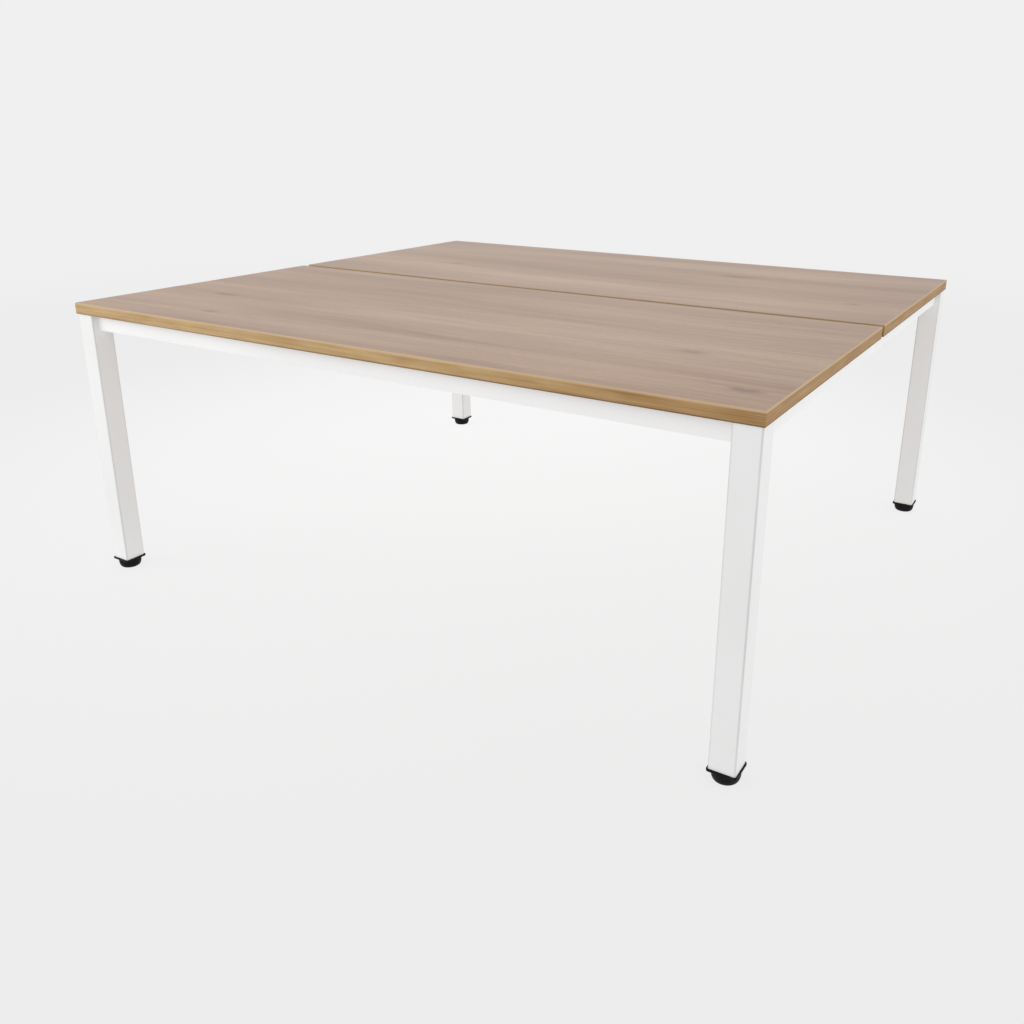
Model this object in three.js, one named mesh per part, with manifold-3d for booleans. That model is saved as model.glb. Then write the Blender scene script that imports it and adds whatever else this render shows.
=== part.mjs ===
// Benching desk for two: two worktops back to back on one white tube frame with four levelling feet.
// Millimetres, +Z up, floor at z = 0, X along the long edge, the front worktop at -Y.
import * as THREE from "three";
import { mergeVertices } from "three/addons/utils/BufferGeometryUtils.js";
import Module from "manifold-3d";

const wasm = await Module();
wasm.setup();

// Worktops
const DESK_LENGTH = 1800;
const TOP_DEPTH = 800;
const TOP_GAP = 20;
const DESK_HEIGHT = 730;
const TOP_THICKNESS = 28;
const EDGE_BAND = 2;
const ARRIS = 1.5;
const TOP_OVERHANG = 3;

// Frame tubes
const LEG_SIZE = 55;
const LEG_WALL = 2;
const LEG_CORNER = 4;
const RAIL_HEIGHT = 40;
const RAIL_WIDTH = 25;
const RAIL_WALL = 2;
const RAIL_CORNER = 3;
const INNER_RAIL_INSET = 70;

// Spigot joints between the long rails and the end frames
const SPIGOT_LENGTH = 60;
const SPIGOT_WALL = 3;
const JOINT_SCREW_INSET = 35;
const JOINT_SCREW = 6;
const JOINT_SCREW_GRIP = 12;
const JOINT_HEAD = 10.5;
const JOINT_HEAD_HEIGHT = 3.3;
const JOINT_KEY = 4;

// Screws that hold the worktops
const TOP_SCREW = 5;
const TOP_SCREW_LENGTH = 18;
const TOP_SCREW_HEAD = 10;
const TOP_SCREW_HEAD_HEIGHT = 3;
const TOP_SCREW_INSET = 300;
const DRIVER_HOLE = 14;

// Levelling feet
const GLIDE_TOP = 58;
const GLIDE_BASE = 44;
const GLIDE_HEIGHT = 23;
const GLIDE_RIM = 3;
const CAP_PROUD = 3;
const CAP_FLANGE = 5;
const CAP_CORNER = 6;
const PLUG_HEIGHT = 26;
const PLUG_WALL = 2.5;
const FIN_REACH = 0.8;
const FIN_THICKNESS = 1.2;
const FIN_COUNT = 3;
const BOSS = 26;
const STEM = 10;
const STEM_RISE = 34;
const STEM_SEAT = 12;
const COLLAR = 16;
const COLLAR_HEIGHT = 4;
const NUT_WIDTH = 17;
const NUT_HEIGHT = 8;

// Clearance round a fitted piece
const FIT = 0.3;

const UNDERSIDE = DESK_HEIGHT - TOP_THICKNESS;
const DESK_DEPTH = 2 * TOP_DEPTH + TOP_GAP;
const LEG_X = DESK_LENGTH / 2 - TOP_OVERHANG - LEG_SIZE / 2;
const LEG_Y = DESK_DEPTH / 2 - TOP_OVERHANG - LEG_SIZE / 2;
const LEG_FOOT = GLIDE_HEIGHT + CAP_FLANGE;
const RAIL_Z = UNDERSIDE - RAIL_HEIGHT / 2;
const RAIL_FLOOR = UNDERSIDE - RAIL_HEIGHT;
const INNER_RAIL_Y = TOP_GAP / 2 + INNER_RAIL_INSET;
const TOP_SCREW_X = DESK_LENGTH / 2 - TOP_SCREW_INSET;
const TOP_SCREW_SEAT = UNDERSIDE - RAIL_WALL;
const SIDES = { left: -1, right: 1 };
const ENDS = { front: -1, rear: 1 };

const finish = {
  laminate: new THREE.MeshStandardMaterial({ color: 0xbaa698, roughness: 0.55, metalness: 0 }),
  band: new THREE.MeshStandardMaterial({ color: 0xa97f52, roughness: 0.5, metalness: 0 }),
  white: new THREE.MeshStandardMaterial({ color: 0xf0f0ee, roughness: 0.45, metalness: 0 }),
  black: new THREE.MeshStandardMaterial({ color: 0x161616, roughness: 0.6, metalness: 0 }),
  zinc: new THREE.MeshStandardMaterial({ color: 0xb4b8bb, roughness: 0.35, metalness: 1 }),
};

// A geometry as a closed solid for boolean work
function solid(geometry) {
  const bare = geometry.clone();
  bare.deleteAttribute("normal");
  bare.deleteAttribute("uv");
  const merged = mergeVertices(bare, 1e-4);
  return new wasm.Manifold(
    new wasm.Mesh({
      numProp: 3,
      vertProperties: new Float32Array(merged.attributes.position.array),
      triVerts: new Uint32Array(merged.index.array),
    }),
  );
}

// A solid back as a drawn geometry
function drawn(body) {
  const mesh = body.getMesh();
  const geometry = new THREE.BufferGeometry();
  geometry.setAttribute("position", new THREE.BufferAttribute(mesh.vertProperties, 3));
  geometry.setIndex(new THREE.BufferAttribute(mesh.triVerts, 1));
  geometry.computeVertexNormals();
  return geometry;
}

function join(...geometries) {
  return drawn(geometries.map(solid).reduce((whole, piece) => whole.add(piece)));
}

function cut(geometry, ...tools) {
  return drawn(tools.map(solid).reduce((whole, tool) => whole.subtract(tool), solid(geometry)));
}

function common(...geometries) {
  return drawn(geometries.map(solid).reduce((whole, piece) => whole.intersect(piece)));
}

// Rounded rectangle about the origin
function rounded(shape, width, height, radius) {
  const x = width / 2 - radius;
  const y = height / 2 - radius;
  shape.absarc(x, y, radius, 0, Math.PI / 2);
  shape.absarc(-x, y, radius, Math.PI / 2, Math.PI);
  shape.absarc(-x, -y, radius, Math.PI, 1.5 * Math.PI);
  shape.absarc(x, -y, radius, 1.5 * Math.PI, 2 * Math.PI);
  shape.closePath();
  return shape;
}

function prism(shape, length, curveSegments = 2) {
  return new THREE.ExtrudeGeometry(shape, { depth: length, bevelEnabled: false, curveSegments });
}

function bar(width, height, radius, length) {
  return prism(rounded(new THREE.Shape(), width, height, radius), length);
}

// Hollow section with an even wall
function tube(width, height, radius, wall, length) {
  const shape = rounded(new THREE.Shape(), width, height, radius);
  const inside = Math.max(radius - wall, 0.5);
  shape.holes.push(rounded(new THREE.Path(), width - 2 * wall, height - 2 * wall, inside));
  return prism(shape, length);
}

// Lengths drawn along Z, laid along X or Y about the middle of the length
function alongX(geometry, length) {
  return geometry.translate(0, 0, -length / 2).rotateY(Math.PI / 2);
}

function alongY(geometry, length) {
  return geometry.translate(0, 0, -length / 2).rotateX(-Math.PI / 2);
}

function pin(diameter, low, high, x = 0, y = 0, segments = 16) {
  const rod = new THREE.CylinderGeometry(diameter / 2, diameter / 2, high - low, segments);
  return rod.rotateX(Math.PI / 2).translate(x, y, (low + high) / 2);
}

// Hexagonal prism by its width across the flats
function hexagon(width, low, high) {
  return pin((width * 2) / Math.sqrt(3), low, high, 0, 0, 6);
}

function turned(profile, segments) {
  const points = profile.map(([r, z]) => new THREE.Vector2(r, z));
  return new THREE.LatheGeometry(points, segments).rotateX(Math.PI / 2);
}

const desk = new THREE.Group();
desk.name = "benching_desk_for_two";

function place(name, geometry, material, x = 0, y = 0, z = 0) {
  const mesh = new THREE.Mesh(geometry, material);
  mesh.name = name;
  mesh.position.set(x, y, z);
  desk.add(mesh);
}

// Board with a pilot hole over each worktop screw
function board(side) {
  const middle = side * (TOP_GAP / 2 + TOP_DEPTH / 2);
  const slab = new THREE.BoxGeometry(
    DESK_LENGTH - 2 * EDGE_BAND,
    TOP_DEPTH - 2 * EDGE_BAND,
    TOP_THICKNESS,
  ).translate(0, middle, DESK_HEIGHT - TOP_THICKNESS / 2);
  const top = TOP_SCREW_SEAT + TOP_SCREW_LENGTH + FIT;
  const holes = [LEG_Y, INNER_RAIL_Y].flatMap((y) =>
    [-TOP_SCREW_X, TOP_SCREW_X].map((x) =>
      pin(TOP_SCREW + 2 * FIT, UNDERSIDE - 1, top, x, side * y, 12),
    ),
  );
  return cut(slab, ...holes);
}

// Long strip with its outer arrises rounded, outward face towards +Y
function longBand() {
  const length = DESK_LENGTH - 2 * EDGE_BAND;
  const wide = alongX(bar(TOP_THICKNESS, 4 * EDGE_BAND, ARRIS, length), length);
  const half = new THREE.BoxGeometry(length, EDGE_BAND, TOP_THICKNESS);
  return common(wide.translate(0, -2 * EDGE_BAND, 0), half.translate(0, -EDGE_BAND / 2, 0));
}

// End strip that laps the ends of the long strips, outward face towards +X
function endBand() {
  const plan = bar(4 * EDGE_BAND, TOP_DEPTH, ARRIS, TOP_THICKNESS);
  const edge = alongY(bar(4 * EDGE_BAND, TOP_THICKNESS, ARRIS, TOP_DEPTH), TOP_DEPTH);
  const side = alongX(bar(TOP_THICKNESS, TOP_DEPTH, ARRIS, EDGE_BAND), EDGE_BAND);
  return common(
    plan.translate(-2 * EDGE_BAND, 0, -TOP_THICKNESS / 2),
    edge.translate(-2 * EDGE_BAND, 0, 0),
    side.translate(-EDGE_BAND / 2, 0, 0),
  );
}

const bandZ = DESK_HEIGHT - TOP_THICKNESS / 2;
for (const [end, side] of Object.entries(ENDS)) {
  const inner = (side * TOP_GAP) / 2;
  const outer = inner + side * TOP_DEPTH;
  const middle = (inner + outer) / 2;
  place("worktop_" + end, board(side), finish.laminate);
  const turn = side > 0 ? 0 : Math.PI;
  place("band_" + end + "_outer", longBand().rotateZ(turn), finish.band, 0, outer, bandZ);
  place("band_" + end + "_inner", longBand().rotateZ(turn + Math.PI), finish.band, 0, inner, bandZ);
  for (const [hand, way] of Object.entries(SIDES)) {
    const strip = endBand().rotateZ(way > 0 ? 0 : Math.PI);
    place("band_" + end + "_" + hand, strip, finish.band, (way * DESK_LENGTH) / 2, middle, bandZ);
  }
}

// Welded end frames: two legs and an end rail each
const legLength = UNDERSIDE - LEG_FOOT;
const endRailLength = 2 * LEG_Y - LEG_SIZE;
for (const [hand, way] of Object.entries(SIDES)) {
  for (const [end, side] of Object.entries(ENDS)) {
    const leg = tube(LEG_SIZE, LEG_SIZE, LEG_CORNER, LEG_WALL, legLength);
    place("leg_" + end + "_" + hand, leg, finish.white, way * LEG_X, side * LEG_Y, LEG_FOOT);
  }
  const rail = tube(RAIL_WIDTH, RAIL_HEIGHT, RAIL_CORNER, RAIL_WALL, endRailLength);
  place("end_rail_" + hand, alongY(rail, endRailLength), finish.white, way * LEG_X, 0, RAIL_Z);
}

// Long rail with its lock holes, driver holes and worktop screw holes
function longRail(length) {
  const body = tube(RAIL_HEIGHT, RAIL_WIDTH, RAIL_CORNER, RAIL_WALL, length);
  const half = RAIL_HEIGHT / 2;
  const tools = [-1, 1].flatMap((way) => {
    const lock = way * (length / 2 - JOINT_SCREW_INSET);
    const hold = way * TOP_SCREW_X;
    return [
      pin(JOINT_SCREW + 2 * FIT, -half - 1, -half + 2 * RAIL_WALL, lock, 0, 12),
      pin(DRIVER_HOLE, -half - 1, -half + 2 * RAIL_WALL, hold),
      pin(TOP_SCREW + 2 * FIT, half - 2 * RAIL_WALL, half + 1, hold, 0, 12),
    ];
  });
  return cut(alongX(body, length), ...tools);
}

// Spigot from its weld at x = 0 towards +X, tapped through its lower wall
function spigot() {
  const width = RAIL_WIDTH - 2 * RAIL_WALL - 2 * FIT;
  const height = RAIL_HEIGHT - 2 * RAIL_WALL - 2 * FIT;
  const body = alongX(tube(height, width, 1, SPIGOT_WALL, SPIGOT_LENGTH), SPIGOT_LENGTH);
  const tap = pin(JOINT_SCREW + 2 * FIT, -height / 2 - 1, -height / 2 + 2 * SPIGOT_WALL);
  return cut(
    body.translate(SPIGOT_LENGTH / 2, 0, 0),
    tap.translate(JOINT_SCREW_INSET, 0, 0),
  );
}

// Button-head screw with a key socket, head under z = 0
function jointScrew() {
  const head = JOINT_HEAD / 2;
  const low = -JOINT_HEAD_HEIGHT;
  const shank = turned(
    [
      [0, low],
      [0.55 * head, low],
      [0.85 * head, 0.7 * low],
      [head, 0.25 * low],
      [head, 0],
      [JOINT_SCREW / 2, 0],
      [JOINT_SCREW / 2, JOINT_SCREW_GRIP - 0.8],
      [JOINT_SCREW / 2 - 0.8, JOINT_SCREW_GRIP],
      [0, JOINT_SCREW_GRIP],
    ],
    12,
  );
  return cut(shank, hexagon(JOINT_KEY, low - 1, 0.4 * low));
}

// Pan-head wood screw, head under z = 0, with a cross recess
function topScrew() {
  const head = TOP_SCREW_HEAD / 2;
  const low = -TOP_SCREW_HEAD_HEIGHT;
  const shank = turned(
    [
      [0, low],
      [0.7 * head, low],
      [head, 0.5 * low],
      [head, 0],
      [TOP_SCREW / 2, 0],
      [TOP_SCREW / 2, TOP_SCREW_LENGTH - 4],
      [0, TOP_SCREW_LENGTH],
    ],
    12,
  );
  const slot = new THREE.BoxGeometry(head, 1, 2).translate(0, 0, low);
  return cut(shank, slot.clone(), slot.rotateZ(Math.PI / 2));
}

// Long rails on their spigots, with the screws that lock them and hold the worktops
const rows = {
  outer: { y: LEG_Y, face: LEG_X - LEG_SIZE / 2 },
  inner: { y: INNER_RAIL_Y, face: LEG_X - RAIL_WIDTH / 2 },
};
for (const [end, side] of Object.entries(ENDS)) {
  for (const [row, { y, face }] of Object.entries(rows)) {
    const name = end + "_" + row;
    place("rail_" + name, longRail(2 * face), finish.white, 0, side * y, RAIL_Z);
    for (const [hand, way] of Object.entries(SIDES)) {
      const tongue = spigot().rotateZ(way > 0 ? Math.PI : 0);
      place("spigot_" + name + "_" + hand, tongue, finish.zinc, way * face, side * y, RAIL_Z);
      const lock = way * (face - JOINT_SCREW_INSET);
      place("rail_screw_" + name + "_" + hand, jointScrew(), finish.zinc, lock, side * y, RAIL_FLOOR);
      const hold = way * TOP_SCREW_X;
      place("top_screw_" + name + "_" + hand, topScrew(), finish.zinc, hold, side * y, TOP_SCREW_SEAT);
    }
  }
}

// Foot cap: square flange under the leg, finned plug inside it, nut pocket from below
function footCap() {
  const flange = LEG_SIZE + 2 * CAP_PROUD;
  const fin = LEG_SIZE - 2 * LEG_WALL - 2 * FIT;
  const plug = fin - 2 * FIN_REACH;
  const top = CAP_FLANGE + PLUG_HEIGHT;
  const web = (plug - PLUG_WALL) / 2;
  const pitch = PLUG_HEIGHT / (FIN_COUNT + 1);
  const pieces = [
    bar(flange, flange, CAP_CORNER, CAP_FLANGE),
    tube(plug, plug, 2, PLUG_WALL, PLUG_HEIGHT + 1).translate(0, 0, CAP_FLANGE - 1),
    pin(BOSS, CAP_FLANGE - 1, top, 0, 0, 20),
    new THREE.BoxGeometry(2 * web, PLUG_WALL, PLUG_HEIGHT).translate(0, 0, top - PLUG_HEIGHT / 2),
    new THREE.BoxGeometry(PLUG_WALL, 2 * web, PLUG_HEIGHT).translate(0, 0, top - PLUG_HEIGHT / 2),
  ];
  for (let i = 1; i <= FIN_COUNT; i++) {
    const ring = tube(fin, fin, 2, FIN_REACH + PLUG_WALL / 2, FIN_THICKNESS);
    pieces.push(ring.translate(0, 0, CAP_FLANGE + i * pitch - FIN_THICKNESS / 2));
  }
  return cut(
    join(...pieces),
    hexagon(NUT_WIDTH + 2 * FIT, -1, NUT_HEIGHT + FIT),
    pin(STEM + 2 * FIT, -1, top + 1),
  );
}

// Hexagon nut on z = 0
function footNut() {
  return cut(hexagon(NUT_WIDTH, 0, NUT_HEIGHT), pin(STEM + 2 * FIT, -1, NUT_HEIGHT + 1));
}

// Threaded stem with a round collar that is moulded into the glide
function footStem() {
  const low = STEM_SEAT;
  const high = GLIDE_HEIGHT + STEM_RISE;
  return turned(
    [
      [0, low],
      [COLLAR / 2, low],
      [COLLAR / 2, low + COLLAR_HEIGHT],
      [STEM / 2, low + COLLAR_HEIGHT],
      [STEM / 2, high - 1],
      [STEM / 2 - 1, high],
      [0, high],
    ],
    16,
  );
}

// Domed glide with the pocket that grips the collar
function footGlide() {
  const base = GLIDE_BASE / 2;
  const swell = GLIDE_TOP / 2 - base;
  const rise = GLIDE_HEIGHT - GLIDE_RIM;
  const dome = [];
  for (let i = 0; i <= 5; i++) {
    const angle = (i / 5) * (Math.PI / 2);
    dome.push([base + swell * Math.sin(angle), rise * (1 - Math.cos(angle))]);
  }
  const neck = STEM / 2 + FIT;
  const grip = COLLAR / 2 + FIT;
  const roof = STEM_SEAT + COLLAR_HEIGHT + FIT;
  return turned(
    [
      [0, 0],
      ...dome,
      [GLIDE_TOP / 2, GLIDE_HEIGHT - 1],
      [GLIDE_TOP / 2 - 1, GLIDE_HEIGHT],
      [neck, GLIDE_HEIGHT],
      [neck, roof],
      [grip, roof],
      [grip, STEM_SEAT],
      [0, STEM_SEAT],
    ],
    28,
  );
}

for (const [end, side] of Object.entries(ENDS)) {
  for (const [hand, way] of Object.entries(SIDES)) {
    const name = end + "_" + hand;
    const x = way * LEG_X;
    const y = side * LEG_Y;
    place("foot_cap_" + name, footCap(), finish.black, x, y, GLIDE_HEIGHT);
    place("foot_nut_" + name, footNut(), finish.zinc, x, y, GLIDE_HEIGHT + FIT);
    place("foot_stem_" + name, footStem(), finish.zinc, x, y);
    place("foot_glide_" + name, footGlide(), finish.black, x, y);
  }
}

export default desk;
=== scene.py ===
# %% [markdown]
# # A benching desk for two
# Two wood-decor worktops stand back to back on one white tube frame, with a cable gap between them
# and four black levelling feet under the legs.
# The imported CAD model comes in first, as a fixed frame in metres with the floor at z = 0.
# Each later cell dresses or replaces a part of that frame, so nothing has to be fitted by eye.

# %% Load the frame
import functools
import math

import bmesh
import bpy
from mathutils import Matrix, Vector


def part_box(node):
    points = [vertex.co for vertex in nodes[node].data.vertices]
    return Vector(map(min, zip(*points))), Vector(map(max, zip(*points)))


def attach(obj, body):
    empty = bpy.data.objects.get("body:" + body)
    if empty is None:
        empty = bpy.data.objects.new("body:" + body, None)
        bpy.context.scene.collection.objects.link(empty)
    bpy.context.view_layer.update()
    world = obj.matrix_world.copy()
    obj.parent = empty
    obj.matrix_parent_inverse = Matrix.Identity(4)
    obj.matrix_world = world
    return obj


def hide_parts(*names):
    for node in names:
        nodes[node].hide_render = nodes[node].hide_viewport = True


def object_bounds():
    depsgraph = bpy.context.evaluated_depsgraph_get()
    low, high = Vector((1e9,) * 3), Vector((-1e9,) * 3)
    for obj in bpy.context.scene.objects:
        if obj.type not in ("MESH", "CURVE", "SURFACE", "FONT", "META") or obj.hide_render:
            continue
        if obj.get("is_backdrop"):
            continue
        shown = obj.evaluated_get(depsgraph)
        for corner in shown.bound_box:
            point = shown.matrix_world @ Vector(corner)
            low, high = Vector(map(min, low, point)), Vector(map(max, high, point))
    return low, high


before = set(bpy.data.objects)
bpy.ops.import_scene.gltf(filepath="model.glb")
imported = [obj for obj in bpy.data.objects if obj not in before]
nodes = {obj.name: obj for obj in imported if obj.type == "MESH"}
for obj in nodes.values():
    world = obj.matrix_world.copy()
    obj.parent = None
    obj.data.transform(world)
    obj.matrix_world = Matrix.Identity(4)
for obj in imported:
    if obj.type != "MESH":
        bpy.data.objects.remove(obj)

scene = bpy.context.scene
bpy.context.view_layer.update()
ENDS = ("front", "rear")
HANDS = ("left", "right")
CORNERS = [f"{end}_{hand}" for end in ENDS for hand in HANDS]

# %% [markdown]
# The camera stands at standing height in front of the right-hand corner and looks down across the desk.
# It could be turned by hand until the picture looks right, but a fit is quicker and closer: the corners
# of the worktops, the legs and the rails were matched with their places in the photograph, and the
# numbers below are the answer. The small shift keeps the desk a little above the middle, as it is there.

# %% Camera
SENSOR = 36.0
LENS = 33.610
SHIFT = (-0.029929, -0.065779)
STAND = (1.35334, -2.24569, 1.16367)
TURN_DEGREES = (71.435, -0.2856, 31.3412)
FAR_CLIP = 400.0

optics = bpy.data.cameras.new("standing_view")
optics.sensor_width = SENSOR
optics.lens = LENS
optics.shift_x, optics.shift_y = SHIFT
optics.clip_end = FAR_CLIP
camera = bpy.data.objects.new("standing_view", optics)
camera.location = STAND
camera.rotation_euler = [math.radians(angle) for angle in TURN_DEGREES]
scene.collection.objects.link(camera)
scene.camera = camera
print("camera at", STAND, "lens", LENS)

# %% [markdown]
# Nodes are the common language of the next cells: materials and Geometry Nodes trees are both built
# from them. One small helper adds a node, sets its options, and sets or links its inputs. On top of it
# come helpers for sums, so that a formula in a tree can be read as a formula.

# %% Node helpers
def add(tree, kind, inputs=None, **options):
    node = tree.nodes.new(kind)
    for name, value in options.items():
        setattr(node, name, value)
    for name, value in (inputs or {}).items():
        if isinstance(value, bpy.types.NodeSocket):
            tree.links.new(value, node.inputs[name])
        else:
            node.inputs[name].default_value = value
    return node


def calc(tree, operation, *values):
    return add(tree, "ShaderNodeMath", dict(enumerate(values)), operation=operation).outputs[0]


def sums(tree):
    names = ("ADD", "SUBTRACT", "MULTIPLY", "DIVIDE", "MULTIPLY_ADD")
    return [functools.partial(calc, tree, name) for name in names]


print("node helpers ready")

# %% [markdown]
# Points need helpers of their own: one puts a point together from three numbers, one takes it apart, and
# one does sums with whole points. Colours are easiest to pick on screen, from 0 to 255, but Blender
# works in linear light, so the last helper converts them by the standard screen curve.

# %% Points and colours
def vector(tree, x=0.0, y=0.0, z=0.0):
    return add(tree, "ShaderNodeCombineXYZ", {"X": x, "Y": y, "Z": z}).outputs[0]


def split(tree, point):
    return add(tree, "ShaderNodeSeparateXYZ", {0: point}).outputs


def point_calc(tree, operation, *values):
    node = add(tree, "ShaderNodeVectorMath", dict(enumerate(values)), operation=operation)
    return node.outputs["Value" if operation in ("LENGTH", "DISTANCE") else "Vector"]


def linear(level):
    share = level / 255
    return share / 12.92 if share <= 0.04045 else ((share + 0.055) / 1.055) ** 2.4


def screen(*levels):
    return (*map(linear, levels), 1.0)


print("mid grey on screen is", round(linear(128), 3), "in linear light")

# %% [markdown]
# Every finish starts the same way: Object coordinates in, a Principled surface out. Object coordinates
# are metres here, so a scale of 500 means 500 features in a metre. Noise that is stretched more one way
# than the other gives grain, and a ramp turns it into colour.

# %% Finish helpers
def start_finish(name):
    finish = bpy.data.materials.new(name)
    finish.use_nodes = True
    tree = finish.node_tree
    tree.nodes.clear()
    surface = add(tree, "ShaderNodeBsdfPrincipled")
    add(tree, "ShaderNodeOutputMaterial", {"Surface": surface.outputs[0]})
    place = add(tree, "ShaderNodeTexCoord").outputs["Object"]
    return finish, tree, surface.inputs, place


def noise(tree, place, stretch, detail=2.0, rough=0.5):
    mapped = add(tree, "ShaderNodeMapping", {"Vector": place, "Scale": stretch})
    inputs = {"Vector": mapped.outputs[0], "Scale": 1.0, "Detail": detail, "Roughness": rough}
    return add(tree, "ShaderNodeTexNoise", inputs).outputs[0]


def ramp(tree, factor, *stops):
    node = add(tree, "ShaderNodeValToRGB", {"Fac": factor})
    scale = node.color_ramp.elements
    scale[0].position, scale[0].color = stops[0]
    scale[1].position, scale[1].color = stops[-1]
    for position, colour in stops[1:-1]:
        scale.new(position).color = colour
    return node.outputs["Color"]


print("finish helpers ready")

# %% [markdown]
# Noise keeps mostly between 0.3 and 0.7, so a helper maps one range onto another, straight or with soft
# ends. A mix lays one colour over another. The last helper joins colour, roughness and a fine relief to
# the surface, because a finish without all three looks like paint on paper.

# %% Ranges, mixes and relief
NOISE_RANGE = (0.3, 0.7)


def span(tree, value, low, high, new_low=0.0, new_high=1.0, kind="LINEAR"):
    inputs = {"Value": value, "From Min": low, "From Max": high, "To Min": new_low, "To Max": new_high}
    return add(tree, "ShaderNodeMapRange", inputs, interpolation_type=kind).outputs[0]


def smooth(tree, value, low, high, new_low=0.0, new_high=1.0):
    return span(tree, value, low, high, new_low, new_high, "SMOOTHSTEP")


def mix(tree, factor, first, second):
    inputs = {0: factor, 6: first, 7: second}
    return add(tree, "ShaderNodeMix", inputs, data_type="RGBA").outputs[2]


def cover(tree, surface, colour, roughness, height, strength, depth):
    inputs = {"Height": height, "Strength": strength, "Distance": depth}
    relief = add(tree, "ShaderNodeBump", inputs).outputs[0]
    for name, value in (("Base Color", colour), ("Roughness", roughness), ("Normal", relief)):
        tree.links.new(value, surface[name])


print("noise is read from", NOISE_RANGE[0], "to", NOISE_RANGE[1])

# %% [markdown]
# The studio is as plain as it can be: a pale floor that runs to the horizon, and an even white sky of
# the same tone, so that the line between them disappears. The sky also gives most of the light, soft
# and from all sides. Standard view keeps the white from being toned down to grey.

# %% Sky and floor disc
SKY = 0.870
WHITE = (1.0, 1.0, 1.0, 1.0)
FLOOR_RADIUS = 90.0
FLOOR_SIDES = 128
FLOOR_DROP = 0.0004

scene.view_settings.view_transform = "Standard"
scene.world = bpy.data.worlds.new("even_sky")
scene.world.use_nodes = True
backdrop = scene.world.node_tree.nodes["Background"].inputs
backdrop["Color"].default_value = WHITE
backdrop["Strength"].default_value = SKY

disc = bmesh.new()
bmesh.ops.create_circle(disc, cap_ends=True, segments=FLOOR_SIDES, radius=FLOOR_RADIUS)
floor = bpy.data.objects.new("floor", bpy.data.meshes.new("floor"))
disc.to_mesh(floor.data)
disc.free()
floor.location.z = -FLOOR_DROP
scene.collection.objects.link(floor)
floor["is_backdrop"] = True
print("floor radius", FLOOR_RADIUS, "normal up:", floor.data.polygons[0].normal.z > 0)

# %% [markdown]
# A floor that only reflects would go grey under such a wide desk. This one also glows, like a lit studio
# table, so the shadows stay faint and soft. The glow is strongest in a pool under the desk, sinks a
# little around it, and rises again to the sky's tone far away. Seen from below, the floor lets the
# camera through, so the underside of the desk can be looked at as well.

# %% Glow of the floor
FLOOR_WHITE = 0.08
POOL_GLOW = 0.869
EDGE_GLOW = 0.768
FAR_GLOW = SKY * (1.0 - FLOOR_WHITE)
POOL_PLACE = (-0.55, 0.68, 0.0)
POOL_RADIUS = 2.7
FAR_RADIUS = 6.2

pale_floor = bpy.data.materials.new("pale_floor")
pale_floor.use_nodes = True
tree = pale_floor.node_tree
tree.nodes.clear()
place = add(tree, "ShaderNodeTexCoord").outputs["Object"]
reach = point_calc(tree, "DISTANCE", place, POOL_PLACE)
pool = smooth(tree, reach, 0.0, POOL_RADIUS, POOL_GLOW, EDGE_GLOW)
fade = smooth(tree, reach, POOL_RADIUS, FAR_RADIUS, 0.0, FAR_GLOW - EDGE_GLOW)
glow = add(tree, "ShaderNodeEmission", {"Strength": calc(tree, "ADD", pool, fade)})
matt = add(tree, "ShaderNodeBsdfDiffuse", {"Color": (FLOOR_WHITE, FLOOR_WHITE, FLOOR_WHITE, 1.0)})
lit = add(tree, "ShaderNodeAddShader", {0: matt.outputs[0], 1: glow.outputs[0]})
clear = add(tree, "ShaderNodeBsdfTransparent")
behind = add(tree, "ShaderNodeNewGeometry").outputs["Backfacing"]
either = add(tree, "ShaderNodeMixShader", {0: behind, 1: lit.outputs[0], 2: clear.outputs[0]})
add(tree, "ShaderNodeOutputMaterial", {"Surface": either.outputs[0]})
floor.data.materials.append(pale_floor)
print("glow in the pool", POOL_GLOW, "around it", EDGE_GLOW, "far away", round(FAR_GLOW, 3))

# %% [markdown]
# Two large soft lamps give the white tubes their slight change of tone from face to face: one in front
# on the left, which lifts the faces towards the sitter, and a weaker one on the right.

# %% Lamps
def soft_lamp(name, place, target, size, power):
    data = bpy.data.lights.new(name, "AREA")
    data.shape = "DISK"
    data.size = size
    data.energy = power
    lamp = bpy.data.objects.new(name, data)
    lamp.location = place
    lamp.visible_camera = False
    aim = [there - here for there, here in zip(target, place)]
    pitch = math.atan2(math.hypot(aim[0], aim[1]), -aim[2])
    lamp.rotation_euler = (pitch, 0.0, math.atan2(aim[1], aim[0]) - math.pi / 2)
    scene.collection.objects.link(lamp)


soft_lamp("lamp_left", place=(-2.6, -2.3, 1.4), target=(-0.9, -0.7, 0.5), size=2.0, power=21.0)
soft_lamp("lamp_right", place=(4.2, 0.2, 1.6), target=(0.6, -0.3, 0.4), size=2.4, power=17.0)

# %% [markdown]
# The worktops are chipboard faced with a printed oak decor under a matt wear layer. An image would be
# the usual way, but noise gives the same layers at any scale, with no tiling. The few small knots come
# first, because the grain bends round them: each is a spot whose edge is an ellipse along the desk.

# %% Knots of the decor
KNOT_LENGTH = 0.060
KNOT_WIDTH = 0.022
KNOTS = (
    (-0.683, -0.516, 1.0), (-0.525, -0.703, 0.8), (0.630, -0.485, 1.2), (0.826, -0.710, 1.0),
    (-0.520, 0.300, 0.9), (0.360, 0.520, 1.3), (0.770, 0.240, 0.7),
)

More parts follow.
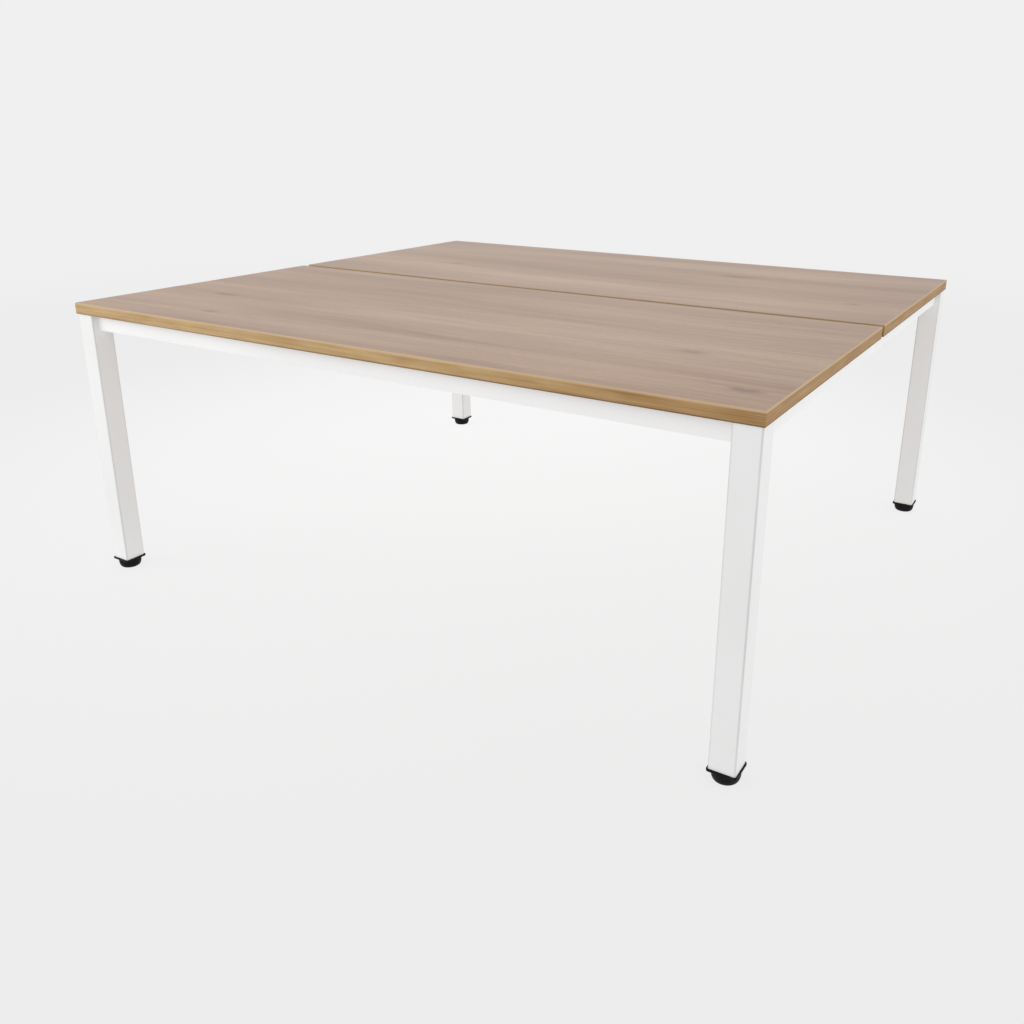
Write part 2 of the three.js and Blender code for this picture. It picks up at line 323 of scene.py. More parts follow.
laminate, tree, surface, place = start_finish("oak_decor_laminate")
knot = 0.0
for x, y, scale in KNOTS:
    away = point_calc(tree, "SUBTRACT", place, (x, y, 0.0))
    shrink = (1 / (scale * KNOT_LENGTH), 1 / (scale * KNOT_WIDTH), 0.0)
    distance = point_calc(tree, "LENGTH", point_calc(tree, "MULTIPLY", away, shrink))
    knot = calc(tree, "MAXIMUM", knot, smooth(tree, distance, 0.0, 1.0, 1.0, 0.0))
print("knots:", len(KNOTS))

# %% [markdown]
# The print itself has broad tone bands, narrow streaks and fine lines, all along the desk. Each is noise
# that is stretched along X, and each has its share in the tone. The pores are also pressed a little into
# the wear layer. The right end is painted a slightly deeper tone, a painted shade.

# %% Oak decor laminate
SWAY, SWAY_SCALE = 0.05, (1.6, 2.5, 1.0)
KNOT_BEND = 0.020
BAND_SCALE, STREAK_SCALE, LINE_SCALE = (0.7, 7.0, 1.0), (2.4, 55.0, 1.0), (7.0, 380.0, 1.0)
BAND_SHARE, STREAK_SHARE, LINE_SHARE, KNOT_SHARE = 0.45, 0.40, 0.15, -0.14
PORE_SCALE, PORE_RANGE, PORE_SHARE = (60.0, 1500.0, 1.0), (0.62, 0.72), 0.35
# Painted shade: a slightly deeper tone towards the right end of the worktops.
RIGHT_SHADE_ALONG, RIGHT_SHADE_BY = (0.45, 0.95), (0.012, -0.05)
OAK = (
    (0.30, screen(130, 98, 76)), (0.45, screen(162, 129, 105)),
    (0.56, screen(178, 147, 122)), (0.70, screen(198, 170, 144)),
)
PORE_BROWN = screen(112, 84, 68)

sway = calc(tree, "MULTIPLY", noise(tree, place, SWAY_SCALE), SWAY)
bend = calc(tree, "MULTIPLY_ADD", knot, KNOT_BEND, sway)
grain = point_calc(tree, "ADD", place, vector(tree, y=bend))
bands = noise(tree, grain, BAND_SCALE)
streaks = noise(tree, grain, STREAK_SCALE, detail=4.0, rough=0.6)
lines = noise(tree, grain, LINE_SCALE)
pores = span(tree, noise(tree, grain, PORE_SCALE, detail=0.0), *PORE_RANGE)
# Painted shade: the tone starts slightly darker towards the right end.
tone = smooth(tree, split(tree, place)["X"], *RIGHT_SHADE_ALONG, *RIGHT_SHADE_BY)
layers = ((bands, BAND_SHARE), (streaks, STREAK_SHARE), (lines, LINE_SHARE), (knot, KNOT_SHARE))
for layer, share in layers:
    tone = calc(tree, "MULTIPLY_ADD", layer, share, tone)
wood = mix(tree, calc(tree, "MULTIPLY", pores, PORE_SHARE), ramp(tree, tone, *OAK), PORE_BROWN)
dull = span(tree, streaks, 0.2, 0.8, 0.30, 0.40)
pressed = calc(tree, "SUBTRACT", lines, pores)
cover(tree, surface, wood, dull, pressed, strength=0.25, depth=0.0001)
surface["Specular IOR Level"].default_value = 0.36
for end in ENDS:
    nodes["worktop_" + end].material_slots[0].material = laminate
print("laminate nodes:", len(tree.nodes))

# %% [markdown]
# The edge band is a strip of amber plastic with a printed grain. It is paler along its upper edge, partly
# as it was scraped round after gluing and is rubbed by sleeves, partly as a painted highlight on the
# arris.
# Its lower edge has a painted shade above the frame, and a painted sheen makes it paler towards the left.
# Height alone tells the edges from the face, so both lines are mixed in by z, and the painted sheen by x.
# The faces inside the cable gap are painted a darker grey-brown, a painted shade in the gap. They are
# told by y.

# %% Amber edge band
ARRIS = 0.0015
# The pale upper line is partly a painted highlight; the dark lower line is painted shade.
SCRAPE_AND_HIGHLIGHT = 0.0055
LOWER_SHADE_HEIGHT = 0.0040
BAND_FOOT, BAND_TOP = (corner.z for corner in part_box("worktop_front"))
HALF_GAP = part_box("band_rear_inner")[0].y
FIBRE_SCALE, FIBRE_SHARE = (3.0, 3.0, 520.0), 0.6
PATCH_SCALE, PATCH_SHARE = (9.0, 9.0, 60.0), 0.4
# Painted sheen: the band is made paler towards the left.
LEFT_SHEEN_ALONG, LEFT_SHEEN_BY = (0.10, 0.95), (0.12, -0.08)
# Painted shade along the lower edge, stronger to the right, and painted shade in the cable gap.
LOWER_SHADE_ALONG, LOWER_SHADE_SHARE, GAP_SHADE_SHARE = (-0.9, 0.9), (0.45, 0.85), 0.32
SCRAPE_AND_HIGHLIGHT_SHARE, RUBBED_DULL = 0.75, 0.2
AMBER = ((0.30, screen(149, 112, 70)), (0.50, screen(174, 140, 96)), (0.70, screen(196, 166, 122)))
SCRAPE_AND_HIGHLIGHT_PALE, LOWER_SHADE_BROWN, GAP_SHADE_BROWN = screen(208, 182, 150), screen(96, 78, 60), screen(104, 84, 66)

amber, tree, surface, place = start_finish("amber_edge_band")
axis = split(tree, place)
fibres = noise(tree, place, FIBRE_SCALE, detail=3.0, rough=0.6)
patches = noise(tree, place, PATCH_SCALE)
# Painted sheen: the tone starts paler towards the left.
tone = smooth(tree, axis["X"], *LEFT_SHEEN_ALONG, *LEFT_SHEEN_BY)
for layer, share in ((patches, PATCH_SHARE), (fibres, FIBRE_SHARE)):
    tone = calc(tree, "MULTIPLY_ADD", layer, share, tone)
# Painted highlight together with the pale of the scraped edge: the upper arris is made paler.
scrape_and_highlight = smooth(tree, axis["Z"], BAND_TOP - SCRAPE_AND_HIGHLIGHT, BAND_TOP - ARRIS, 0.0, SCRAPE_AND_HIGHLIGHT_SHARE)
# Painted shade: the lower edge of the band is made darker, more so towards the right.
lower_shade = smooth(tree, axis["Z"], BAND_FOOT + LOWER_SHADE_HEIGHT, BAND_FOOT + ARRIS)
dust_and_lower_shade = calc(tree, "MULTIPLY", lower_shade, span(tree, axis["X"], *LOWER_SHADE_ALONG, *LOWER_SHADE_SHARE))
# Painted shade: the faces inside the cable gap are made darker and greyer.
from_gap = calc(tree, "ABSOLUTE", axis["Y"])
gap_shade = smooth(tree, from_gap, HALF_GAP + ARRIS, HALF_GAP, 0.0, GAP_SHADE_SHARE)
colour = ramp(tree, tone, *AMBER)
for amount, tint in ((scrape_and_highlight, SCRAPE_AND_HIGHLIGHT_PALE), (dust_and_lower_shade, LOWER_SHADE_BROWN), (gap_shade, GAP_SHADE_BROWN)):
    colour = mix(tree, amount, colour, tint)
dull = span(tree, patches, *NOISE_RANGE, 0.48, 0.6)
dull = calc(tree, "MULTIPLY_ADD", scrape_and_highlight, RUBBED_DULL, dull)
cover(tree, surface, colour, dull, fibres, strength=0.2, depth=0.0001)
surface["Specular IOR Level"].default_value = 0.15
print("band from", round(BAND_FOOT, 4), "to", round(BAND_TOP, 4))

# %% [markdown]
# The frame is steel tube with a white powder coat. Powder melts into a skin with a fine ripple, known as
# orange peel, about a millimetre across, and it never comes out quite the same tone all over.
# It also draws back from the corners of a tube while it melts, so the steel greys through along the
# legs, and the same grey line is a painted shade on the rounded leg corners. How far a point is from a
# leg's own corner lines tells where. The rails get a lighter copy of the white coat, painted lighter
# against the shade under the worktops.

# %% White powder coats
DRIFT = (3.0, 3.0, 3.0)
PEEL = (800.0, 800.0, 800.0)
UNEVEN = (20.0, 20.0, 6.0)
# Painted shade along the leg corners, together with the steel greying through the thin coat.
CORNER_GREY_AND_SHADE_START, CORNER_GREY_AND_SHADE_FULL = 0.0042, 0.0018
STEEL_GREY_AND_SHADE = screen(205, 207, 206)


def thin_coat_and_corner_shade(tree, place):
    low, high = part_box("leg_rear_right")
    middle = (low + high) / 2
    half = (high.x - low.x) / 2
    axis = split(tree, place)
    aside = []
    for name, centre in (("X", middle.x), ("Y", middle.y)):
        from_leg = calc(tree, "SUBTRACT", calc(tree, "ABSOLUTE", axis[name]), centre)
        aside.append(calc(tree, "ABSOLUTE", from_leg))
    thin_and_shaded = span(tree, calc(tree, "MINIMUM", *aside), half - CORNER_GREY_AND_SHADE_START, half - CORNER_GREY_AND_SHADE_FULL)
    uneven = span(tree, noise(tree, place, UNEVEN), *NOISE_RANGE, 0.6, 1.0)
    return calc(tree, "MULTIPLY", thin_and_shaded, uneven)


def powder_coat(name, dull, bright, corners=False):
    finish, tree, surface, place = start_finish(name)
    drift = noise(tree, place, DRIFT, detail=3.0)
    white = ramp(tree, drift, *zip(NOISE_RANGE, (screen(*dull), screen(*bright))))
    if corners:
        # Painted shade on the leg corners, with the steel greying through.
        white = mix(tree, thin_coat_and_corner_shade(tree, place), white, STEEL_GREY_AND_SHADE)
    roughness = span(tree, drift, *NOISE_RANGE, 0.34, 0.46)
    peel = noise(tree, place, PEEL, detail=1.0)
    cover(tree, surface, white, roughness, peel, strength=0.12, depth=0.0002)
    return finish


# Painted light: the rails take a lighter copy of the white coat, against the shade under the worktops.
lighter_painted_rail_coat = powder_coat("white_lighter_painted_rail_coat", (245, 245, 245), (249, 249, 249))
leg_coat = powder_coat("white_leg_coat", (234, 234, 233), (240, 240, 240), corners=True)
print("powder coats:", lighter_painted_rail_coat.name, leg_coat.name)

# %% [markdown]
# Caps and glides are moulded from black plastic with a spark-eroded grain, dusty in the low spots.
# Spigots, screws, nuts and stems are zinc-plated steel: metal with a cool, slightly cloudy passivation.
# Neither has a direction, so even noise at two scales is enough for each.

# %% Black plastic and zinc-plated steel
SPARK = (1400.0, 1400.0, 1400.0)
DUST = (70.0, 70.0, 70.0)
CLOUD = (160.0, 160.0, 160.0)
CRYSTAL = (900.0, 900.0, 900.0)

moulded, tree, surface, place = start_finish("black_moulded_plastic")
dust_and_lower_shade = noise(tree, place, DUST, detail=4.0, rough=0.65)
colour = ramp(tree, dust_and_lower_shade, (0.4, screen(6, 6, 7)), (0.75, screen(25, 25, 25)))
dull = span(tree, dust_and_lower_shade, 0.3, 0.75, 0.42, 0.68)
cover(tree, surface, colour, dull, noise(tree, place, SPARK), strength=0.3, depth=0.0001)
surface["Specular IOR Level"].default_value = 0.13

zinc, tree, surface, place = start_finish("zinc_plated_steel")
cloud = noise(tree, place, CLOUD, detail=3.0)
colour = ramp(tree, cloud, (0.3, screen(178, 182, 186)), (0.7, screen(208, 208, 200)))
dull = span(tree, cloud, *NOISE_RANGE, 0.26, 0.44)
crystals = noise(tree, place, CRYSTAL, detail=1.0)
cover(tree, surface, colour, dull, crystals, strength=0.08, depth=0.0001)
surface["Metallic"].default_value = 1.0
print("finishes:", moulded.name, zinc.name)

# %% [markdown]
# From here on the shapes get finer than the CAD model's. Geometry Nodes make the pieces that follow a
# rule: tubes, welds, screws, threads and turned feet. A tree is built once, with named inputs for its
# sizes. Every tree ends the same way: smooth faces with sharp edges past a crease angle, instances made
# real, and the finish set.

# %% Geometry Nodes helpers
CREASE = math.radians(34.0)


def start_tree(name, **sizes):
    tree = bpy.data.node_groups.new(name, "GeometryNodeTree")
    face = tree.interface
    face.new_socket("Geometry", in_out="INPUT", socket_type="NodeSocketGeometry")
    kinds = {int: "NodeSocketInt", float: "NodeSocketFloat", tuple: "NodeSocketVector"}
    for label, value in sizes.items():
        face.new_socket(label, in_out="INPUT", socket_type=kinds[type(value)]).default_value = value
    face.new_socket("finish", in_out="INPUT", socket_type="NodeSocketMaterial")
    face.new_socket("Geometry", in_out="OUTPUT", socket_type="NodeSocketGeometry")
    return tree, tree.nodes.new("NodeGroupInput").outputs


def end_tree(tree, size, shape, crease=CREASE):
    even = add(tree, "GeometryNodeSetShadeSmooth", {"Geometry": shape}).outputs[0]
    angle = add(tree, "GeometryNodeInputMeshEdgeAngle").outputs[0]
    sharp = add(tree, "FunctionNodeCompare", {0: angle, 1: crease}, operation="GREATER_THAN").outputs[0]
    edges = {"Geometry": even, "Selection": sharp, "Shade Smooth": False}
    crisp = add(tree, "GeometryNodeSetShadeSmooth", edges, domain="EDGE").outputs[0]
    real = add(tree, "GeometryNodeRealizeInstances", {0: crisp}).outputs[0]
    done = add(tree, "GeometryNodeSetMaterial", {"Geometry": real, "Material": size["finish"]}).outputs[0]
    add(tree, "NodeGroupOutput", {0: done})


print("crease angle", round(math.degrees(CREASE)), "degrees")

# %% [markdown]
# A tree runs on an object that starts out empty, or that holds only the places of what repeats. What it
# makes is kept as a plain mesh at the origin, because the piece must not depend on the tree. Weighted
# normals keep the large faces of a piece flat to the eye beside its small rounded edges.

# %% From tree to mesh
def settle(piece):
    graph = bpy.context.evaluated_depsgraph_get()
    mesh = bpy.data.meshes.new_from_object(
        piece.evaluated_get(graph), preserve_all_data_layers=True, depsgraph=graph
    )
    piece.modifiers.clear()
    piece.data = mesh
    mesh.name = piece.name
    return piece


def shade_evenly(piece):
    piece.modifiers.new("even_shading", "WEIGHTED_NORMAL").keep_sharp = True
    return settle(piece)


def new_piece(name, mesh):
    piece = bpy.data.objects.new(name, mesh)
    scene.collection.objects.link(piece)
    return piece


def make(name, tree, finish, start=None, **sizes):
    piece = new_piece(name, start or bpy.data.meshes.new(name))
    made = piece.modifiers.new("made", "NODES")
    made.node_group = tree
    values = dict(sizes, finish=finish)
    for item in tree.interface.items_tree:
        if item.in_out == "INPUT" and item.name in values:
            made[item.identifier] = values[item.name]
    return shade_evenly(piece)


print("mesh helpers ready")

# %% [markdown]
# Each finished piece is told which body it rides on, and the CAD nodes it stands for are hidden.
# Measuring it shows at once if a shape is open or inside out: a sound one has no open edges and a volume
# above zero. Where a node stands is asked so often that it has a helper too.

# %% Dress and measure
CUBIC_CM = 1e6


def dress(piece, body, slot, *replaced):
    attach(piece, body)
    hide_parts(*replaced)


def measure(piece):
    shape = bmesh.new()
    shape.from_mesh(piece.data)
    loose = sum(not edge.is_manifold for edge in shape.edges)
    volume = shape.calc_volume(signed=True) * CUBIC_CM
    shape.free()
    print(f"{piece.name}: {len(piece.data.polygons)} faces, {volume:.2f} cm3, {loose} open edges")


def foot_of(node):
    low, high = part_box(node)
    return ((low.x + high.x) / 2, (low.y + high.y) / 2, low.z), high - low


print("a leg stands at", foot_of("leg_front_left")[0])

# %% [markdown]
# A leg is a square tube with rounded corners, cut square. The rule for it is short: round off a
# rectangle, do the same for the bore, fill the ring between them and raise it to the tube's length.
# The helpers for these steps come first, because other trees use them as well.

# %% Shape helpers
CORNER_STEPS = 6
WELD = 1e-6


def joined(tree, *parts):
    node = add(tree, "GeometryNodeJoinGeometry")
    for part in parts:
        tree.links.new(part, node.inputs[0])
    return node.outputs[0]


def outline(tree, width, height, corner):
    flat = add(tree, "GeometryNodeCurvePrimitiveQuadrilateral", {"Width": width, "Height": height})
    inputs = {"Curve": flat.outputs[0], "Count": CORNER_STEPS, "Radius": corner}
    return add(tree, "GeometryNodeFilletCurve", inputs, mode="POLY").outputs[0]


def raised(tree, curve, height):
    sheet = add(tree, "GeometryNodeFillCurve", {"Curve": curve}, mode="NGONS").outputs[0]
    rise = vector(tree, z=height)
    inputs = {"Mesh": sheet, "Offset": rise, "Offset Scale": 1.0, "Individual": False}
    top = add(tree, "GeometryNodeExtrudeMesh", inputs).outputs[0]
    base = add(tree, "GeometryNodeFlipFaces", {"Mesh": sheet}).outputs[0]
    inputs = {"Geometry": joined(tree, top, base), "Distance": WELD}
    return add(tree, "GeometryNodeMergeByDistance", inputs).outputs[0]


def moved(tree, shape, place, turn=(0.0, 0.0, 0.0)):
    inputs = {"Geometry": shape, "Translation": place, "Rotation": turn}
    return add(tree, "GeometryNodeTransform", inputs).outputs[0]


print("corner steps:", CORNER_STEPS)

# %% [markdown]
# Now the tube itself. Its bore is the outline less a wall on every side, and the bore's corner is the
# outer corner less the wall, but never quite sharp.

# %% Square tube tree
LEAST_CORNER = 0.0006

tube, size = start_tree(
    "square_tube", width=0.055, height=0.055, corner=0.004, wall=0.002, length=0.674,
    turn=(0.0, 0.0, 0.0), place=(0.0, 0.0, 0.0),
)
bore_width = calc(tube, "MULTIPLY_ADD", size["wall"], -2.0, size["width"])
bore_height = calc(tube, "MULTIPLY_ADD", size["wall"], -2.0, size["height"])
bore_corner = calc(tube, "SUBTRACT", size["corner"], size["wall"])
bore_corner = calc(tube, "MAXIMUM", bore_corner, LEAST_CORNER)
skin = outline(tube, size["width"], size["height"], size["corner"])
bore = outline(tube, bore_width, bore_height, bore_corner)
upright = raised(tube, joined(tube, skin, bore), size["length"])
end_tree(tube, size, moved(tube, upright, size["place"], size["turn"]))


def tube_part(tree, **inputs):
    return add(tree, "GeometryNodeGroup", inputs, node_tree=tube).outputs[0]


print("tube tree nodes:", len(tube.nodes))

# %% [markdown]
# The same tree makes the four legs and the two end rails, which only have other sizes and lie on their
# side. Each size comes from the CAD node's own box, so the piece takes exactly the node's place.

# %% Legs and end rails
TUBE_WALL = 0.002
LEG_CORNER = 0.004
RAIL_CORNER = 0.003
LIE_BACK = (-math.pi / 2, 0.0, 0.0)

for corner in CORNERS:
    place, (across, deep, length) = foot_of("leg_" + corner)
    leg = make(
        "tube_leg_" + corner, tube, leg_coat, width=across, height=deep, corner=LEG_CORNER,
        wall=TUBE_WALL, length=length, place=place,
    )
    dress(leg, "frame", "frame_white", "leg_" + corner)
    measure(leg)
for hand in HANDS:
    low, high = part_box("end_rail_" + hand)
    across, length, tall = high - low
    place = ((low.x + high.x) / 2, low.y, (low.z + high.z) / 2)
    end_rail = make(
        "tube_end_rail_" + hand, tube, lighter_painted_rail_coat, width=across, height=tall, corner=RAIL_CORNER,
        wall=TUBE_WALL, length=length, turn=LIE_BACK, place=place,
    )
    dress(end_rail, "frame", "frame_white", "end_rail_" + hand)
    measure(end_rail)

# %% [markdown]
# The four long rails are the same tube with holes: one at each end for the lock screw, and near each
# end a wide hole below for the driver with a small hole above it for the worktop screw. A boolean takes
# drills out of the tube, as a workshop would. They come in pairs, so the holes keep their distance from
# the middle at any length.

# %% Drills
DRILL_SIDES = 28
DRILL_DEPTH = 0.008


def rod(tree, radius, height, sides, **more):
    inputs = {"Vertices": sides, "Radius": radius, "Depth": height, **more}
    return add(tree, "GeometryNodeMeshCylinder", inputs).outputs[0]


def drill_pair(tree, reach, level, diameter):
    drill = rod(tree, calc(tree, "MULTIPLY", diameter, 0.5), DRILL_DEPTH, DRILL_SIDES)
    left = vector(tree, x=calc(tree, "MULTIPLY", reach, -1.0), z=level)
    inputs = {"Count": 2, "Start Location": left, "Offset": vector(tree, x=reach, z=level)}
    line = add(tree, "GeometryNodeMeshLine", inputs, mode="END_POINTS").outputs[0]
    both = add(tree, "GeometryNodeInstanceOnPoints", {"Points": line, "Instance": drill}).outputs[0]
    return add(tree, "GeometryNodeRealizeInstances", {0: both}).outputs[0]


def carved(tree, shape, *tools):
    node = add(tree, "GeometryNodeMeshBoolean", {0: shape}, operation="DIFFERENCE", solver="MANIFOLD")
    for tool in tools:
        tree.links.new(tool, node.inputs[1])
    return node.outputs[0]


print("drill depth", DRILL_DEPTH)

# %% [markdown]
# The rail is the tube tree laid along X, with three pairs of drills taken out of it. The tube goes in as
# one node, so a change to the tube reaches the rails as well.

# %% Drilled rail tree
LIE_ALONG = (0.0, math.pi / 2, 0.0)

rail, size = start_tree(
    "drilled_rail", width=0.025, height=0.040, corner=0.003, wall=0.002, length=1.684,
    hold_reach=0.6, hold_hole=0.0056, driver_hole=0.014, lock_reach=0.807, lock_hole=0.0066,
    place=(0.0, 0.0, 0.0),
)
left_end = calc(rail, "MULTIPLY", size["length"], -0.5)
body = tube_part(
    rail, width=size["height"], height=size["width"], corner=size["corner"], wall=size["wall"],
    length=size["length"], turn=LIE_ALONG, place=vector(rail, x=left_end),
)
above = calc(rail, "MULTIPLY", size["height"], 0.5)
below = calc(rail, "MULTIPLY", size["height"], -0.5)
drilled = carved(
    rail, body,
    drill_pair(rail, size["hold_reach"], above, size["hold_hole"]),
    drill_pair(rail, size["hold_reach"], below, size["driver_hole"]),
    drill_pair(rail, size["lock_reach"], below, size["lock_hole"]),
)
end_tree(rail, size, moved(rail, drilled, size["place"]))
print("rail tree nodes:", len(rail.nodes))

# %% [markdown]
# Two of these rails carry each worktop, one under its outer edge and one beside the cable gap. Where the
# holes go is read from the screws of the CAD model, so a screw always finds its hole.

# %% Long rails
ROWS = [f"{end}_{row}" for end in ENDS for row in ("outer", "inner")]

for row in ROWS:
    low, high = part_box("rail_" + row)
    length, across, tall = high - low
    hold = foot_of(f"top_screw_{row}_right")[0]
    lock = foot_of(f"rail_screw_{row}_right")[0]
    long_rail = make(
        "tube_rail_" + row, rail, lighter_painted_rail_coat, width=across, height=tall, corner=RAIL_CORNER,
        wall=TUBE_WALL, length=length, hold_reach=hold[0], lock_reach=lock[0],
        place=tuple((low + high) / 2),
    )
    dress(long_rail, "frame", "frame_white", "rail_" + row)
    measure(long_rail)

# %% [markdown]
# The end rails are welded to the legs. On such a frame the seams that show are ground flat before
# coating, and the ones on the inside and underneath are left as small rippled beads. The tree sweeps a
# small circle along a path and lets its size rise and fall once per drop of metal.

# %% Weld bead tree
BEAD = 0.0019
BEAD_SIDES = 10
BEAD_STEP = 0.0005

weld, size = start_tree("weld_bead", bead=BEAD, ripple=0.14, drop=0.0024)
path = add(weld, "GeometryNodeMeshToCurve", {0: size["Geometry"]}).outputs[0]
inputs = {"Curve": path, "Length": BEAD_STEP}
path = add(weld, "GeometryNodeResampleCurve", inputs, mode="LENGTH").outputs[0]
along = add(weld, "GeometryNodeSplineParameter").outputs["Length"]
wave = calc(weld, "PINGPONG", calc(weld, "DIVIDE", along, size["drop"]), 0.5)
swell = calc(weld, "MULTIPLY_ADD", calc(weld, "MULTIPLY", wave, 2.0), size["ripple"], 1.0)
inputs = {"Resolution": BEAD_SIDES, "Radius": size["bead"]}
ring = add(weld, "GeometryNodeCurvePrimitiveCircle", inputs).outputs[0]
inputs = {"Curve": path, "Profile Curve": ring, "Scale": swell, "Fill Caps": True}
end_tree(weld, size, add(weld, "GeometryNodeCurveToMesh", inputs).outputs[0])
print("weld tree nodes:", len(weld.nodes))

# %% [markdown]
# A bead follows the joint: down the inner side of the rail, round its lower corner and along its
# underside. Each end rail has one at each end, so four paths are drawn as plain edges, and the tree
# turns all of them into beads at once.

# %% Weld beads
BEND_STEPS = 4

paths = bmesh.new()
for hand in HANDS:
    low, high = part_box("end_rail_" + hand)
    inner, outer = (low.x, high.x) if low.x > 0 else (high.x, low.x)
    out = math.copysign(1, outer - inner)
    route = [(inner, high.z - 2 * BEAD)]
    for step in range(BEND_STEPS + 1):
        angle = step * math.pi / (2 * BEND_STEPS)
        x = inner + out * RAIL_CORNER * (1 - math.cos(angle))
        route.append((x, low.z + RAIL_CORNER * (1 - math.sin(angle))))
    route.append((outer - out * RAIL_CORNER, low.z))
    for y in (low.y, high.y):
        points = [paths.verts.new((x, y, z)) for x, z in route]
        for pair in zip(points, points[1:]):
            paths.edges.new(pair)
start = bpy.data.meshes.new("weld_paths")
paths.to_mesh(start)
paths.free()
beads = make("weld_beads", weld, leg_coat, start)
dress(beads, "frame", "frame_white")
measure(beads)

# %% [markdown]
# A lock screw under each rail end holds the rail on its spigot. It is a button-head screw: a slice of a
# ball with a hexagonal socket, on a plain shank. The ball's radius follows from the head's width and
# height. A block cuts the ball down to the slice, and a six-sided key cuts the socket.

# %% Button-head screw
HEAD_HEIGHT = 0.0033
BALL_SIDES, BALL_RINGS, SHANK_SIDES, HEX_SIDES = 32, 24, 20, 6
BLOCK = 0.04
KEY_DEPTH = 0.004

screw, size = start_tree(
    "button_head_screw", head=0.0105, head_height=HEAD_HEIGHT, socket=0.004, shank=0.006, grip=0.012,
    seed=7,
)
plus, minus, times, over, times_plus = sums(screw)
radius = times(size["head"], 0.5)
rise = size["head_height"]
ball = over(plus(times(radius, radius), times(rise, rise)), times(rise, 2.0))
inputs = {"Segments": BALL_SIDES, "Rings": BALL_RINGS, "Radius": ball}
dome = add(screw, "GeometryNodeMeshUVSphere", inputs).outputs[0]
dome = moved(screw, dome, vector(screw, z=minus(ball, rise)))
block = add(screw, "GeometryNodeMeshCube", {"Size": (BLOCK, BLOCK, BLOCK)}).outputs[0]
block = moved(screw, block, (0.0, 0.0, BLOCK / 2))
key = rod(screw, over(size["socket"], math.sqrt(3)), KEY_DEPTH, HEX_SIDES)
key = moved(screw, key, vector(screw, z=times(rise, -1.0)))
head = carved(screw, dome, block, key)
shank = rod(screw, times(size["shank"], 0.5), size["grip"], SHANK_SIDES)
shank = moved(screw, shank, vector(screw, z=times(size["grip"], 0.5)))
print("screw tree nodes so far:", len(screw.nodes))

# %% [markdown]
# One screw is repeated on eight points, the places of the CAD model's screws. Each gets its own turn,
# from a fixed seed, because no fitter lines sockets up.

# %% Lock screws
LOCKS = [f"rail_screw_{row}_{hand}" for row in ROWS for hand in HANDS]

inputs = {"Min": (0.0, 0.0, 0.0), "Max": (0.0, 0.0, math.tau), "Seed": size["seed"]}
spin = add(screw, "FunctionNodeRandomValue", inputs, data_type="FLOAT_VECTOR").outputs[0]
inputs = {"Points": size["Geometry"], "Instance": joined(screw, head, shank), "Rotation": spin}
end_tree(screw, size, add(screw, "GeometryNodeInstanceOnPoints", inputs).outputs[0])

spots = bpy.data.meshes.new("lock_spots")
feet = [foot_of(name)[0] for name in LOCKS]
spots.from_pydata([(x, y, z + HEAD_HEIGHT) for x, y, z in feet], [], [])
locks = make("lock_screws", screw, zinc, spots)
dress(locks, "frame", "zinc_steel", *LOCKS)
measure(locks)

# %% [markdown]
# Each leg ends in a foot cap: a square flange that stands a little proud of the tube, with a finned plug
# that grips inside it. The tube tree is used again as a building block, for the plug's wall and for its
# three fins. A boolean melts everything into one moulding, so each part sinks a little into the next.

# %% Foot cap body
FLANGE_HEIGHT = 0.005
OVERLAP = 0.001
PLUG_CORNER = 0.002


def melted(tree, *parts):
    node = add(tree, "GeometryNodeMeshBoolean", operation="UNION", solver="MANIFOLD")
    for part in parts:
        tree.links.new(part, node.inputs[1])
    return node.outputs[0]


cap, size = start_tree(
    "foot_cap", flange=0.061, flange_corner=0.006, flange_height=FLANGE_HEIGHT, plug=0.0488,
    fin=0.0504, wall=0.0025, fin_wall=0.00205, fin_height=0.0012, fins=3, plug_height=0.026,
    boss=0.013, nut=0.01016, nut_height=0.0083, bore=0.0053, place=(0.0, 0.0, 0.0),
)
plus, minus, times, over, times_plus = sums(cap)
plate = outline(cap, size["flange"], size["flange"], size["flange_corner"])
plate = raised(cap, plate, size["flange_height"])
sunk = minus(size["flange_height"], OVERLAP)
tall = plus(size["plug_height"], OVERLAP)
wall = tube_part(
    cap, width=size["plug"], height=size["plug"], corner=PLUG_CORNER, wall=size["wall"],
    length=tall, place=vector(cap, z=sunk),
)
fin = tube_part(
    cap, width=size["fin"], height=size["fin"], corner=PLUG_CORNER, wall=size["fin_wall"],
    length=size["fin_height"],
)
pitch = over(size["plug_height"], plus(size["fins"], 1.0))
first = minus(plus(size["flange_height"], pitch), times(size["fin_height"], 0.5))
inputs = {"Count": size["fins"], "Start Location": vector(cap, z=first), "Offset": vector(cap, z=pitch)}
levels = add(cap, "GeometryNodeMeshLine", inputs).outputs[0]
fins = add(cap, "GeometryNodeInstanceOnPoints", {"Points": levels, "Instance": fin}).outputs[0]
fins = add(cap, "GeometryNodeRealizeInstances", {0: fins}).outputs[0]
print("cap tree nodes so far:", len(cap.nodes))

# %% [markdown]
# Inside the plug a round boss takes the stem, and a cross of two bars ties the boss to the plug's walls.
# From below, a six-sided pocket is cut for the nut, and a bore goes right through for the stem.

# %% Foot cap boss and pocket
PIN_SIDES = 40
RIGHT_THROUGH = 0.2


def bar(tree, x, y, z, level):
    cube = add(tree, "GeometryNodeMeshCube", {"Size": vector(tree, x, y, z)}).outputs[0]
    return moved(tree, cube, vector(tree, z=level))


def pin(tree, radius, height, level, sides=PIN_SIDES):
    return moved(tree, rod(tree, radius, height, sides), vector(tree, z=level))


